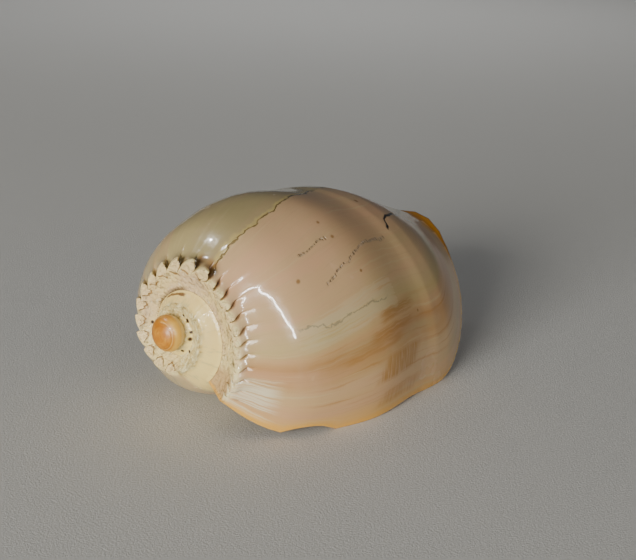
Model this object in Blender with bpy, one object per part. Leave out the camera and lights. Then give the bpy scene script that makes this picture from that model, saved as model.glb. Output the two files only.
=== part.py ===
"""A crowned melon shell, a large sea snail's shell, lying with its opening down.

The shell is one solid. Its wall is swept along a logarithmic spiral: a profile that runs from
the seam on the whorl before, over the crown of spines and down the body to the front end, grows
by one fixed factor in each turn. The sweep is written as one welded skin, outside and inside,
and a spindle with four folds and a smooth round apex are joined to it.

Turns are counted from the lip, which is turn 0, back to the apex. Lengths are in millimetres.
"""
import math

import bmesh
import bpy
import numpy as np

MM = 0.001

# Growth
TURN = 2.0 * math.pi
WHORL_FACTOR = 2.465            # how much larger everything is one turn later
GROWTH = math.log(WHORL_FACTOR) / TURN

# Profile of the outer wall at the lip: distance from the axis, distance from the apex plane
PROFILE = (
    (41.5, 3.0),
    (56.5, 12.0),
    (71.0, 26.5),
    (80.0, 46.5),
    (86.7, 76.5),
    (85.0, 111.0),
    (82.7, 141.5),
    (65.6, 162.5),
    (36.3, 180.5),
    (13.0, 199.0),
)
SEAM_AT = 0.137                 # where on the profile the next whorl joins, 0 crown to 1 front end
SEAM_INSIDE = 0.190             # where that whorl's inner face joins
RAMP_CURVE = 1.5                # how the ramp steepens from the seam up to the crown

# How far the lip lags behind along the profile, in degrees about the axis
LAG = (
    (0.0, -16.0),
    (0.154, -12.3),
    (0.356, -2.7),
    (0.51, -0.1),
    (0.66, 9.1),
    (0.741, 37.5),
    (0.858, 115.5),
    (1.0, 198.0),
)

# Wall
WALL = 3.2                      # thickness of the body
WALL_AT_LIP = 2.0
WALL_THINS = 40.0               # degrees behind the lip over which it thins
EDGE_ROUND = 0.8                # how far the lip's edge stands past its two faces

# Spines on the crown
SPINE_STEP = 7.9                # distance from spine to spine along the crown
SPINE_CROWDING = 16.0           # extra spines per unit of growth on the last part
CROWDING_FROM = 0.78
SPINE_HEIGHT = 7.5              # on the last whorl
SPINE_FADE = 1.4                # power of growth that their height follows
SPINE_PEAK = 1.35               # how much higher the tallest ones are
PEAK_AT = -120.0                # degrees behind the lip where they stand
PEAK_WIDTH = 21.0
SPINE_END = 25.0                # degrees behind the lip over which the spines run out
SPINE_RISE = 0.76               # share of the step over which a spine rises
SPINE_BULGE = 0.9               # power that rounds the back of a spine
SPINE_DROP = 0.14               # share over which it drops at its front
SPINE_PHASE = -0.33
SPINE_UP = 22.0                 # degrees from the radius towards the apex
SPINE_LEAN = 0.35               # how far a tip leans towards the lip, per unit of height
SPINE_INNER = 2.6               # width of the spine's foot on the ramp side
SPINE_OUTER = 6.0               # width on the body side
RIB_HEIGHT = 0.6                # ribs that run from the spines down the body
RIB_LENGTH = 7.0
HOLLOW_DEPTH = 1.8              # hollow in front of each spine
HOLLOW_OUT = 6.0                # how far outside the crown it lies
HOLLOW_WIDTH = 2.6
HOLLOW_AT = 0.95                # where in the step it lies
HOLLOW_LENGTH = 0.12            # share of the step that it takes to either side
WORN_FROM = 90.0                # degrees behind the lip where the spines begin to be lower
WORN_BY = 0.35

# Notch at the front end
FLARE = 4.2                     # how far the orange edge stands past the notch
FLARE_UP = 60.0                 # degrees outwards from the wall
FLARE_FROM = 0.755
FLARE_TO = 0.86

# Chip in the lip
CHIP_AT = 0.195
CHIP_HALF = 0.055
CHIP_DEPTH = 6.5
CHIP_ROUND = 0.7                # power that rounds its ends
CHIP_REACH = 0.16               # growth, in radians, over which the lines behind it are bent

# Columella, the spindle on the axis
SPINDLE_START = 25.0
SPINDLE_END = 202.0
SPINDLE_RADIUS = 2.5            # at the apex plane
SPINDLE_TAPER = 0.065           # growth of the radius along the axis
SPINDLE_ROUND = 44.0            # length over which its front end draws in
FOLDS = (128.0, 142.0, 156.0, 169.0)
FOLD_HEIGHT = 2.2
FOLD_WIDTH = 3.2
FOLD_FROM = 95.0
FOLD_RISE = 30.0                # length over which the folds come up
FOLD_RUNOUT = 14.0              # length over which they end at the front
SPINDLE_BLUNT = 2.5             # power that shapes the front end
SPINDLE_TIP_STATIONS = (0.85, 0.7, 0.55, 0.4, 0.27, 0.15, 0.07, 0.02)

# Apex, the smooth first whorls
APEX_RADIUS = 9.3
APEX_HEIGHT = 6.5
APEX_AT = -3.0

# Depth of the hollow that can be seen into, and of the first whorl, in columns behind the lip
HOLLOW_COLUMNS = 112
FIRST_COLUMN = -300
FINE_COLUMNS = 24               # columns of the whorl before that keep the full count of columns

# How the shell lies
TILT = 5.7                      # degrees that the axis drops from the apex to the front end
LIP_TURN = -24.0                # degrees from level to the lip, about the axis
AXIS_HEIGHT = 46.5              # height of the apex point
APEX_X = -95.8
APEX_Y = 14.9

# Mesh
DIFFERENCE = 0.004              # step of growth time and place for taking a direction
COLUMNS = 130                   # columns in one turn
SEAM_LEAD = 6                   # columns by which the next whorl's seam runs ahead
SEAM_COLUMNS = COLUMNS - SEAM_LEAD
RAMP_ROWS = (-1.0, -0.72, -0.45, -0.22, -0.08)
CROWN_ROWS = (0.008, 0.022, 0.045, 0.085)
BODY_ROWS = (0.26, 0.34, 0.43, 0.53, 0.62, 0.69, 0.745, 0.785, 0.82, 0.855, 0.89, 0.925, 0.962, 1.0)
OUTER_ROWS = RAMP_ROWS + CROWN_ROWS + (SEAM_AT, SEAM_INSIDE) + BODY_ROWS
SEAM_ROW = len(RAMP_ROWS) + len(CROWN_ROWS)
INNER_ROWS = (-0.45, -0.1, 0.04, 0.10, 0.18, 0.27, 0.37, 0.48, 0.58, 0.67, 0.745, 0.80, 0.85, 0.90, 0.95, 1.0)

SHELL_COLOUR = (0.70, 0.55, 0.43, 1.0)
SHELL_ROUGHNESS = 0.25


def spline(places, values, at):
    """Natural cubic spline through the values, read at the given places."""
    places = np.asarray(places, float)
    values = np.asarray(values, float)
    step = np.diff(places)
    count = len(places)
    system = np.eye(count)
    right = np.zeros(count)
    for i in range(1, count - 1):
        system[i, i - 1:i + 2] = step[i - 1], 2.0 * (step[i - 1] + step[i]), step[i]
        rise = (values[i + 1] - values[i]) / step[i]
        right[i] = 6.0 * (rise - (values[i] - values[i - 1]) / step[i - 1])
    bend = np.linalg.solve(system, right)
    k = np.clip(np.searchsorted(places, at) - 1, 0, count - 2)
    a = (places[k + 1] - at) / step[k]
    b = 1.0 - a
    curve = ((a ** 3 - a) * bend[k] + (b ** 3 - b) * bend[k + 1]) * step[k] ** 2 / 6.0
    return a * values[k] + b * values[k + 1] + curve


PROFILE_POINTS = np.array(PROFILE)
PROFILE_RUN = np.concatenate(([0.0], np.cumsum(np.linalg.norm(np.diff(PROFILE_POINTS, axis=0), axis=1))))
PROFILE_LENGTH = PROFILE_RUN[-1]


def body_profile(v):
    """Radius and depth of the wall between the crown, v = 0, and the front end, v = 1."""
    radius = spline(PROFILE_RUN / PROFILE_LENGTH, PROFILE_POINTS[:, 0], v)
    depth = spline(PROFILE_RUN / PROFILE_LENGTH, PROFILE_POINTS[:, 1], v)
    return radius, depth


SEAM_SHRINK = math.exp(-GROWTH * TURN * SEAM_COLUMNS / COLUMNS)
SEAM_RADIUS, SEAM_DEPTH = (SEAM_SHRINK * float(x) for x in body_profile(np.array(SEAM_AT)))
RAMP_LENGTH = math.hypot(PROFILE[0][0] - SEAM_RADIUS, PROFILE[0][1] - SEAM_DEPTH)


def profile(v):
    """Radius and depth from the seam, v = -1, over the crown to the front end."""
    body_radius, body_depth = body_profile(np.clip(v, 0.0, 1.0))
    up = np.clip(1.0 + v, 0.0, 1.0)
    ramp_radius = SEAM_RADIUS + (PROFILE[0][0] - SEAM_RADIUS) * up
    ramp_depth = SEAM_DEPTH + (PROFILE[0][1] - SEAM_DEPTH) * up ** RAMP_CURVE
    return np.where(v < 0.0, ramp_radius, body_radius), np.where(v < 0.0, ramp_depth, body_depth)


def lag(v):
    """Lag of the growth lines along the profile, in radians."""
    places, values = zip(*LAG)
    body = spline(places, values, np.clip(v, 0.0, 1.0))
    seam = float(spline(places, values, np.array(SEAM_AT))) - 360.0 * SEAM_LEAD / COLUMNS
    ramp = LAG[0][1] + (seam - LAG[0][1]) * np.clip(-v, 0.0, 1.0)
    return np.radians(np.where(v < 0.0, ramp, body))


def place(axial, across, up):
    """Point from its distances along the axis, across it and above it, with the shell lying down."""
    tilt = math.radians(TILT)
    x = APEX_X + axial * math.cos(tilt) + up * math.sin(tilt)
    y = APEX_Y - across
    z = AXIS_HEIGHT - axial * math.sin(tilt) + up * math.cos(tilt)
    return np.stack(np.broadcast_arrays(x, y, z), axis=-1)


def around(angle, radius, axial):
    """Point at an angle about the axis, as the lip's own turn counts it."""
    phi = math.radians(LIP_TURN) - angle
    return place(axial, radius * np.cos(phi), radius * np.sin(phi))


def spine_phase(size):
    """Count of spines from the apex to where the shell has this size."""
    count = PROFILE[0][0] / (SPINE_STEP * GROWTH) * size
    return count + SPINE_CROWDING * np.maximum(0.0, size - CROWDING_FROM) + SPINE_PHASE


def relief(t, v, size):
    """Outward height of spines, ribs and hollows, and the lean of the spines towards the lip."""
    x = np.mod(spine_phase(size), 1.0)
    rise = np.sin(0.5 * math.pi * np.clip(x / SPINE_RISE, 0.0, 1.0)) ** SPINE_BULGE
    drop = np.clip((x - SPINE_RISE) / SPINE_DROP, 0.0, 1.0)
    saw = rise * (1.0 - drop)
    run = np.where(v < 0.0, v * RAMP_LENGTH, v * PROFILE_LENGTH) * size
    foot = np.where(run < 0.0, SPINE_INNER, SPINE_OUTER)
    degrees = np.degrees(t)
    worn = 1.0 - WORN_BY * np.clip(1.0 + degrees / WORN_FROM, 0.0, 1.0)
    tall = 1.0 + SPINE_PEAK * np.exp(-((degrees - PEAK_AT) / PEAK_WIDTH) ** 2)
    ending = np.clip(-degrees / SPINE_END, 0.0, 1.0)
    height = SPINE_HEIGHT * size ** SPINE_FADE * worn * tall * ending
    spine = height * saw * np.exp(-(run / foot) ** 2)
    down = np.clip(run, 0.0, None)
    rib = RIB_HEIGHT * size * saw * np.exp(-down / RIB_LENGTH) * np.clip(1.0 + run / SPINE_INNER, 0.0, 1.0)
    front = np.minimum(np.abs(x - HOLLOW_AT), np.abs(x + 1.0 - HOLLOW_AT)) / HOLLOW_LENGTH
    hollow = np.exp(-front ** 2 - ((run - HOLLOW_OUT * size) / HOLLOW_WIDTH) ** 2)
    return spine + rib - HOLLOW_DEPTH * size * ending * hollow, SPINE_LEAN * spine


def chipped(t, v):
    """Growth time moved back where the lip has lost a chip."""
    near = np.clip(1.0 + t / CHIP_REACH, 0.0, 1.0)
    bite = np.clip(1.0 - ((v - CHIP_AT) / CHIP_HALF) ** 2, 0.0, 1.0) ** CHIP_ROUND
    return t - near * bite * CHIP_DEPTH / PROFILE[4][0]


def smooth_wall(t, v):
    """Outer face of the wall without its spines."""
    t, v = np.broadcast_arrays(np.asarray(t, float), np.asarray(v, float))
    t = chipped(t, v)
    size = np.exp(GROWTH * t)
    radius, depth = profile(v)
    return around(t - lag(v), size * radius, size * depth)


def outer_wall(t, v):
    """Outer face of the wall with its spines."""
    t, v = np.broadcast_arrays(np.asarray(t, float), np.asarray(v, float))
    size = np.exp(GROWTH * t)
    radius, depth = profile(v)
    height, lean = relief(t, v, size)
    up = math.radians(SPINE_UP)
    moved_t = chipped(t, v)
    size = np.exp(GROWTH * moved_t)
    r = size * radius + height * math.cos(up)
    turn = moved_t - lag(v) + lean / np.maximum(r, 1.0)
    return around(turn, r, size * depth - height * math.sin(up))


def down_wall(t, v):
    """Step down the smooth wall, along a growth line towards the front end."""
    low = np.clip(v - DIFFERENCE, -1.0, 1.0)
    high = np.clip(v + DIFFERENCE, -1.0, 1.0)
    return smooth_wall(t, high) - smooth_wall(t, low)


def outward(t, v):
    """Unit normal of the smooth wall, pointing out of the shell."""
    along = smooth_wall(t + DIFFERENCE, v) - smooth_wall(t - DIFFERENCE, v)
    normal = np.cross(along, down_wall(t, v))
    return normal / np.linalg.norm(normal, axis=-1, keepdims=True)


def thickness(t, size):
    """Thickness of the wall, thinner towards the lip."""
    near = np.clip(1.0 + np.degrees(t) / WALL_THINS, 0.0, 1.0)
    return (WALL + (WALL_AT_LIP - WALL) * near) * size ** 0.5


def inner_wall(t, v):
    """Inner face of the wall."""
    t, v = np.broadcast_arrays(np.asarray(t, float), np.asarray(v, float))
    size = np.exp(GROWTH * t)
    return smooth_wall(t, v) - outward(t, v) * thickness(t, size)[..., None]


def lip_edge(v):
    """Edge of the lip, which flares out along the notch."""
    t = np.zeros_like(v)
    outer = smooth_wall(t, v)
    inner = inner_wall(t, v)
    normal = outward(t, v)
    ahead = np.cross(down_wall(t, v), normal)
    ahead /= np.linalg.norm(ahead, axis=-1, keepdims=True)
    share = np.clip((v - FLARE_FROM) / (FLARE_TO - FLARE_FROM), 0.0, 1.0)
    flare = FLARE * np.sin(math.pi * share) ** 2
    up = math.radians(FLARE_UP)
    reach = ahead * (EDGE_ROUND + flare * math.cos(up))[..., None]
    return 0.5 * (outer + inner) + reach + normal * (flare * math.sin(up))[..., None]


class Skin:
    """Vertices and triangles of one closed surface."""

    def __init__(self):
        self.points = []
        self.faces = []
        self.named = {}

    def add(self, point):
        self.points.append(tuple(float(x) for x in point))
        return len(self.points) - 1

    def strip(self, a, a_at, b, b_at):
        """Triangles between two runs of vertices, paired by their places."""
        i = j = 0
        while i < len(a) - 1 or j < len(b) - 1:
            if j == len(b) - 1 or (i < len(a) - 1 and a_at[i + 1] <= b_at[j + 1]):
                face = (a[i], a[i + 1], b[j])
                i += 1
            else:
                face = (a[i], b[j + 1], b[j])
                j += 1
            if len(set(face)) == 3:
                self.faces.append(face)

    def fan(self, loop, centre):
        """Triangles from a closed run of vertices to one point."""
        middle = self.add(centre)
        for a, b in zip(loop, loop[1:] + loop[:1]):
            if a != b:
                self.faces.append((a, b, middle))

    def mesh(self, name):
        mesh = bpy.data.meshes.new(name)
        mesh.from_pydata([tuple(MM * x for x in p) for p in self.points], [], self.faces)
        bm = bmesh.new()
        bm.from_mesh(mesh)
        bmesh.ops.recalc_face_normals(bm, faces=bm.faces)
        bm.to_mesh(mesh)
        bm.free()
        mesh.shade_smooth()
        return mesh


def time_of(column):
    return TURN * column / COLUMNS


def outer_columns(row, low, high):
    """Columns of one row: every column on the last crown, fewer where the shell is plainer."""
    found = []
    for column in range(low, high + 1):
        if row > SEAM_ROW:
            step = 2 if column >= -SEAM_COLUMNS else 4
        elif row == 0 or column < -SEAM_COLUMNS - FINE_COLUMNS or (row == SEAM_ROW and column < -SEAM_COLUMNS):
            step = 2
        else:
            step = 1
        if column % step == 0:
            found.append(column)
    return found


def inner_columns():
    return list(range(-HOLLOW_COLUMNS, 1, 4))


def angles_of(columns, v):
    """Angles about the axis at which the columns cross one row."""
    return [time_of(c) - float(lag(np.array(v))) for c in columns]


def outer_vertex(skin, column, row):
    """Vertex of the outer face, shared with the whorl before along the seam."""
    if row == 0 and column - SEAM_COLUMNS >= FIRST_COLUMN:
        column -= SEAM_COLUMNS
        row = SEAM_ROW
    key = ("outer", column, row)
    if key not in skin.named:
        point = outer_wall(time_of(column), OUTER_ROWS[row])
        skin.named[key] = skin.add((point[0], point[1], max(point[2], 0.0)))
    return skin.named[key]


def inner_vertex(skin, column, row):
    """Vertex of the inner face, where row 0 is its seam on the whorl before."""
    if row == 0:
        return outer_vertex(skin, column - SEAM_COLUMNS, SEAM_ROW + 1)
    key = ("inner", column, row)
    if key not in skin.named:
        point = inner_wall(time_of(column), INNER_ROWS[row - 1])
        skin.named[key] = skin.add((point[0], point[1], max(point[2], 0.0)))
    return skin.named[key]


def outer_face(skin):
    """The outside, from the first whorls to the lip, and the wall that the opening looks onto."""
    last = len(OUTER_ROWS) - 1
    for row in range(last):
        if row < SEAM_ROW:
            low = FIRST_COLUMN
        elif row == SEAM_ROW:
            low = -SEAM_COLUMNS
        else:
            low = -HOLLOW_COLUMNS - SEAM_COLUMNS
        runs = []
        for r in (row, row + 1):
            columns = outer_columns(r, low, 0)
            runs += [[outer_vertex(skin, c, r) for c in columns], angles_of(columns, OUTER_ROWS[r])]
        skin.strip(*runs)


def inner_face(skin):
    """The inside of the last whorl."""
    columns = inner_columns()
    runs = [[[inner_vertex(skin, c, 0) for c in columns], angles_of(columns, -1.0)]]
    for row, v in enumerate(INNER_ROWS):
        runs.append([[inner_vertex(skin, c, row + 1) for c in columns], angles_of(columns, v)])
    for upper, lower in zip(runs, runs[1:]):
        skin.strip(*upper, *lower)


def lip(skin):
    """The rounded edge that joins the two faces at the lip."""
    rows = range(len(OUTER_ROWS))
    outer = [outer_vertex(skin, 0, r) for r in rows]
    inner = [inner_vertex(skin, 0, r) for r in range(len(INNER_ROWS) + 1)]
    edge = [outer[0]]
    for point in lip_edge(np.array(OUTER_ROWS[1:-1])):
        edge.append(skin.add((point[0], point[1], max(point[2], 0.0))))
    edge.append(outer[-1])
    skin.strip(outer, OUTER_ROWS, edge, OUTER_ROWS)
    skin.strip(edge, OUTER_ROWS, inner, (-1.0,) + INNER_ROWS)


def closures(skin):
    """The parts that the spindle and the apex cover: wall ends, the hollow's blind end, first whorl."""
    last = len(OUTER_ROWS) - 1
    last_inner = len(INNER_ROWS)
    columns = outer_columns(last, -HOLLOW_COLUMNS, 0)
    outer_end = [outer_vertex(skin, c, last) for c in columns]
    inner_end = [inner_vertex(skin, c, last_inner) for c in inner_columns()]
    skin.strip(outer_end, columns, inner_end, inner_columns())

    back = -HOLLOW_COLUMNS - SEAM_COLUMNS
    before = [outer_vertex(skin, back, r) for r in range(SEAM_ROW + 1, last + 1)]
    before_at = np.linspace(0.0, 1.0, len(before))
    wall = [inner_vertex(skin, -HOLLOW_COLUMNS, r) for r in range(last_inner + 1)]
    wall_at = np.linspace(0.0, 1.0, len(wall))
    skin.strip(before, before_at, wall, wall_at)

    helix = [outer_vertex(skin, c, last) for c in outer_columns(last, back, -HOLLOW_COLUMNS)]
    middle = around(0.0, 0.0, PROFILE[-1][1] * math.exp(GROWTH * time_of(-HOLLOW_COLUMNS - SEAM_COLUMNS // 2)))
    skin.fan(helix + [inner_end[0]], middle)

    end = FIRST_COLUMN + SEAM_COLUMNS
    first = [outer_vertex(skin, c, 0) for c in outer_columns(0, FIRST_COLUMN, end)]
    rows = [outer_vertex(skin, FIRST_COLUMN, r) for r in range(SEAM_ROW - 1, 0, -1)]
    skin.fan(first + rows, around(0.0, 0.0, 0.0))


def fold_turn(axial):
    """Angle that a fold has wound through when it reaches this distance along the axis."""
    return np.log(np.maximum(axial, 1.0)) / GROWTH


def spindle_radius(axial, angle):
    """Radius of the spindle, with folds that wind with the whorls."""
    radius = SPINDLE_RADIUS + SPINDLE_TAPER * axial
    fade = np.clip((axial - FOLD_FROM) / FOLD_RISE, 0.0, 1.0)
    fade = fade * np.clip((SPINDLE_END - axial) / FOLD_RUNOUT, 0.0, 1.0)
    for fold in FOLDS:
        turn = fold_turn(axial) - fold_turn(fold) - angle
        off = (np.mod(turn + math.pi, TURN) - math.pi) * GROWTH * axial
        radius = radius + FOLD_HEIGHT * fade * np.exp(-(off / FOLD_WIDTH) ** 2)
    tip = np.clip((SPINDLE_END - axial) / SPINDLE_ROUND, 0.0, 1.0)
    return radius * np.sqrt(1.0 - (1.0 - tip) ** SPINDLE_BLUNT)


def spindle(sides=28, rings=18):
    """The spindle on the axis."""
    skin = Skin()
    stations = list(np.linspace(SPINDLE_START, SPINDLE_END - SPINDLE_ROUND, rings))
    stations += [SPINDLE_END - SPINDLE_ROUND * share for share in SPINDLE_TIP_STATIONS]
    angles = np.linspace(0.0, TURN, sides, endpoint=False)
    rows = []
    for axial in stations:
        wound = angles + fold_turn(axial)
        radii = spindle_radius(axial, wound)
        rows.append([skin.add(p) for p in around(wound, radii, axial)])
    at = list(range(sides + 1))
    for a, b in zip(rows, rows[1:]):
        skin.strip(a + a[:1], at, b + b[:1], at)
    skin.fan(rows[0], around(0.0, 0.0, SPINDLE_START))
    skin.fan(rows[-1], around(0.0, 0.0, SPINDLE_END))
    return skin


def apex(sides=26, rings=9):
    """The smooth round first whorls."""
    skin = Skin()
    angles = np.linspace(0.0, TURN, sides, endpoint=False)
    rows = []
    for k in range(1, rings):
        polar = math.pi * k / rings
        radius = APEX_RADIUS * math.sin(polar)
        rows.append([skin.add(p) for p in around(angles, radius, APEX_AT - APEX_HEIGHT * math.cos(polar))])
    at = list(range(sides + 1))
    for a, b in zip(rows, rows[1:]):
        skin.strip(a + a[:1], at, b + b[:1], at)
    skin.fan(rows[0], around(0.0, 0.0, APEX_AT - APEX_HEIGHT))
    skin.fan(rows[-1], around(0.0, 0.0, APEX_AT + APEX_HEIGHT))
    return skin


def shell_material():
    material = bpy.data.materials.new("shell")
    material.use_nodes = True
    surface = material.node_tree.nodes["Principled BSDF"]
    surface.inputs["Base Color"].default_value = SHELL_COLOUR
    surface.inputs["Roughness"].default_value = SHELL_ROUGHNESS
    surface.inputs["Metallic"].default_value = 0.0
    return material


def add_object(name, mesh):
    obj = bpy.data.objects.new(name, mesh)
    bpy.context.scene.collection.objects.link(obj)
    return obj


def add_joined(shell, name, skin):
    """Join a closed skin to the shell. Its own object only guides the union."""
    guide = add_object(name, skin.mesh(name))
    guide.hide_render = True
    guide.display_type = "WIRE"
    union = shell.modifiers.new(name, "BOOLEAN")
    union.operation = "UNION"
    union.solver = "EXACT"
    union.object = guide


def build():
    for obj in list(bpy.data.objects):
        bpy.data.objects.remove(obj)
    skin = Skin()
    outer_face(skin)
    inner_face(skin)
    lip(skin)
    closures(skin)
    shell = add_object("shell", skin.mesh("shell"))
    shell.data.materials.append(shell_material())
    add_joined(shell, "columella_guide", spindle())
    add_joined(shell, "apex_guide", apex())


build()
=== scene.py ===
"""A crowned melon shell as the photograph shows it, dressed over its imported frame.

The wall is the same spiral surface as the solid's, at five times its resolution, with the finer
relief of the crown. Its colours follow growth: t is the growth time, 0 at the lip and negative
before it, and v is the place on the profile, -1 at the seam, 0 on the crown, 1 at the front end.
Lengths are in millimetres until a mesh is written.
"""
import math
from collections import namedtuple
from functools import reduce

import bmesh
import bpy
import numpy as np
from mathutils import Matrix, Vector


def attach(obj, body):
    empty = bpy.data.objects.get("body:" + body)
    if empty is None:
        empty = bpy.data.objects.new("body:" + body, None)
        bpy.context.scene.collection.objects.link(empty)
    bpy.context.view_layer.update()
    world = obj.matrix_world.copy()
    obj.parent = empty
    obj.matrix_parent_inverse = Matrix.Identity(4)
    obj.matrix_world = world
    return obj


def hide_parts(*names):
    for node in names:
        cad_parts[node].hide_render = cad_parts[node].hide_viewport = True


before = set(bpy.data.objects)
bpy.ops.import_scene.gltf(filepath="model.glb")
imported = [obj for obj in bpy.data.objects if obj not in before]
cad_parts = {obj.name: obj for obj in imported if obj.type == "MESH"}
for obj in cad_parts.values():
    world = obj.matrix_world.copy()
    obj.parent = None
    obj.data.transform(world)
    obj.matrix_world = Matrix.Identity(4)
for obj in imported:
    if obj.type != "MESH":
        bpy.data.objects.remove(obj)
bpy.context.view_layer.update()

MM = 0.001
TURN = 2.0 * math.pi

# Growth, profile and lag of the growth lines, as in the solid
WHORL_FACTOR = 2.465
GROWTH = math.log(WHORL_FACTOR) / TURN
PROFILE = (
    (41.5, 3.0), (56.5, 12.0), (71.0, 26.5), (80.0, 46.5), (86.7, 76.5),
    (85.0, 111.0), (82.7, 141.5), (65.6, 162.5), (36.3, 180.5), (13.0, 199.0),
)
BODY_RADIUS = PROFILE[4][0]
SEAM_AT = 0.137
SEAM_INSIDE = 0.19
SEAM_LEAD_TURNS = 6.0 / 130.0
RAMP_CURVE = 1.5
LAG = (
    (0.0, -16.0), (0.154, -12.3), (0.356, -2.7), (0.51, -0.1),
    (0.66, 9.1), (0.741, 37.5), (0.858, 115.5), (1.0, 198.0),
)

# Wall and lip
WALL = 3.2
WALL_AT_LIP = 2.0
WALL_THINS = 40.0
EDGE_ROUND = 0.8
FLARE = 4.2
FLARE_UP = 60.0
FLARE_PLACES = (0.755, 0.86)
CHIP_AT = 0.195
CHIP_HALF = 0.055
CHIP_DEPTH = 6.5
CHIP_ROUND = 0.7
CHIP_REACH = 0.16

# Spines
SPINE_STEP = 7.9
SPINE_CROWDING = 16.0
CROWDING_FROM = 0.78
SPINE_HEIGHT = 7.5
SPINE_FADE = 1.4
SPINE_PEAK = 1.35
PEAK_AT = -120.0
PEAK_WIDTH = 21.0
SPINE_END = 25.0
SPINE_RISE = 0.8
SPINE_BULGE = 0.9
SPINE_DROP = 0.09
SPINE_PHASE = -0.21
SPINE_UP = 22.0
SPINE_LEAN = 0.65
SPINE_INNER = 2.6
SPINE_OUTER = 6.0
SPINE_OWN = ((0.13, 2.4, 0.0), (0.09, 5.3, 1.0))  # how single spines differ: share, rate, phase
RIB_HEIGHT = 0.6
RIB_LENGTH = 7.0
HOLLOW_DEPTH = 1.5
HOLLOW_OUT = 6.0
HOLLOW_WIDTH = 2.4
HOLLOW_AT = 0.95
HOLLOW_LENGTH = 0.17
WORN_FROM = 90.0
WORN_BY = 0.35

# Columella
SPINDLE_START = 25.0
SPINDLE_END = 202.0
SPINDLE_RADIUS = 2.5
SPINDLE_TAPER = 0.065
SPINDLE_ROUND = 44.0
FOLDS = (128.0, 142.0, 156.0, 169.0)
FOLD_HEIGHT = 2.2
FOLD_WIDTH = 3.2
FOLD_FROM = 95.0
FOLD_RISE = 30.0
FOLD_RUNOUT = 14.0
SPINDLE_BLUNT = 2.5
SPINDLE_CROWDING = 1.4  # rings lie closer together towards the front end

# Apex
APEX_RADIUS = 9.3
APEX_HEIGHT = 6.5
APEX_AT = -3.0
APEX_SUTURE = (0.78, 0.07)  # polar angle of the groove on the apex, and its growth per radian
APEX_GROOVE = 0.28
APEX_GROOVE_WIDTH = 0.05
APEX_TURN = math.radians(-124.0)  # where the groove starts

# Relief that only the looks have. Growth times are in degrees
WAVES = ((71.0, 0.9, 0.01), (43.0, 2.1, 0.018), (17.0, 4.0, 0.05))  # per radian, phase, height
WAVE_BEND = 9.0  # how the waves' phase shifts along the profile
WAVES_FADE = 0.06  # at the crown on the profile, at the lip in radians
FINE_FROM_END = 0.05  # where all of it fades at the front end
FASCIOLE = ((0.555, 0.01, 0.7), (0.6, 0.014, 0.35))  # ridges at the front: place, half width, height
FASCIOLE_FADE = 0.3  # radians from the lip
GAP_FILL = 0.5  # how far the gaps between the teeth are filled on the older part
FILL_FROM = -165.0
FILL_OVER = 60.0
RAMP_FOLD = 0.95  # folds across the ramp
RAMP_FOLDS = ((58.0, 0.0, 0.6), (98.6, 5.0, 0.4))  # per radian, bend along the profile, share
RAMP_FROM_CROWN = 0.1
RAMP_FROM_SEAM = 0.06
BEAD = 1.0  # beads along the suture
BEAD_RATE = 52.2  # half waves per radian
BEAD_AT = -0.93
BEAD_WIDTH = 0.07
SINK = 1.3  # trough along the seam
SINK_AT = -172.0
SINK_OVER = 24.0
SINK_PLACE = -0.88
SINK_WIDTH = 0.07
RAMP_LUMP = 1.5  # lumps at the crown's inner foot
RAMP_LUMP_RUN = -6.0
RAMP_LUMP_WIDTH = 2.4
UNEVEN = (1.1, 0.37)  # how unevenly the lumps are spaced: reach and rate
OLD_FROM = -322.0  # before this the teeth are blunt nodules
OLD_OVER = 16.0
OLD_FOOT = 0.45  # how narrow a nodule's foot is against a spine's
NODULE = 1.0  # lumps between them
NODULE_RUN = -0.4
NODULE_WIDTH = 1.9
SCAR_STEP = 0.35  # how much the wall behind the scar stands back
SCAR_BACK = 30.0  # over which length it comes level again
SCAR_BEGINS = (0.03, 0.06)
SCAR_ENDS = (0.55, 0.49)

# Lines across the growth lines: places on the profile with growth times in degrees, wobble, half width
# and soft edge in millimetres, first and last place, and the soft part of its ends
Mark = namedtuple("Mark", "line wobble half soft low high ends")
SCAR_LINE = (
    (0.048, -99.5), (0.068, -103.0), (0.108, -106.0), (0.143, -105.0), (0.173, -103.0),
    (0.213, -102.5), (0.253, -102.0), (0.298, -101.5), (0.348, -101.0), (0.388, -101.5),
    (0.424, -102.0), (0.454, -102.0), (0.519, -106.0),
)
CRACK_LINE = (
    (0.554, -68.5), (0.579, -73.5), (0.594, -74.5), (0.639, -72.5),
    (0.719, -55.5), (0.78, -30.0), (0.815, -9.5),
)
PIT_LINE = ((0.255, -60.5), (0.283, -61.5), (0.313, -62.5), (0.378, -64.5), (0.439, -65.5), (0.504, -65.5))
PIT_LINE_BEFORE = ((0.228, -76.5), (0.278, -76.0), (0.313, -76.0))
VEIN_LINE = ((0.15, -49.0), (0.178, -47.5), (0.223, -45.0), (0.298, -45.6), (0.338, -45.0), (0.383, -44.0))
MARKS = {
    "scar": Mark(SCAR_LINE, 9.0, 0.16, 0.5, 0.045, 0.5, 0.02),
    "crack": Mark(CRACK_LINE, 5.0, 0.5, 0.5, 0.556, 0.83, 0.006),
    "pits": Mark(PIT_LINE, 7.0, 0.35, 0.6, 0.255, 0.51, 0.01),
    "pits_before": Mark(PIT_LINE_BEFORE, 7.0, 0.3, 0.5, 0.228, 0.313, 0.01),
    "vein": Mark(VEIN_LINE, 10.0, 0.2, 0.55, 0.16, 0.385, 0.02),
}

# How the shell lies
TILT = 5.7
LIP_TURN = -24.0
AXIS_HEIGHT = 46.5
APEX_X = -95.8
APEX_Y = 14.9

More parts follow.
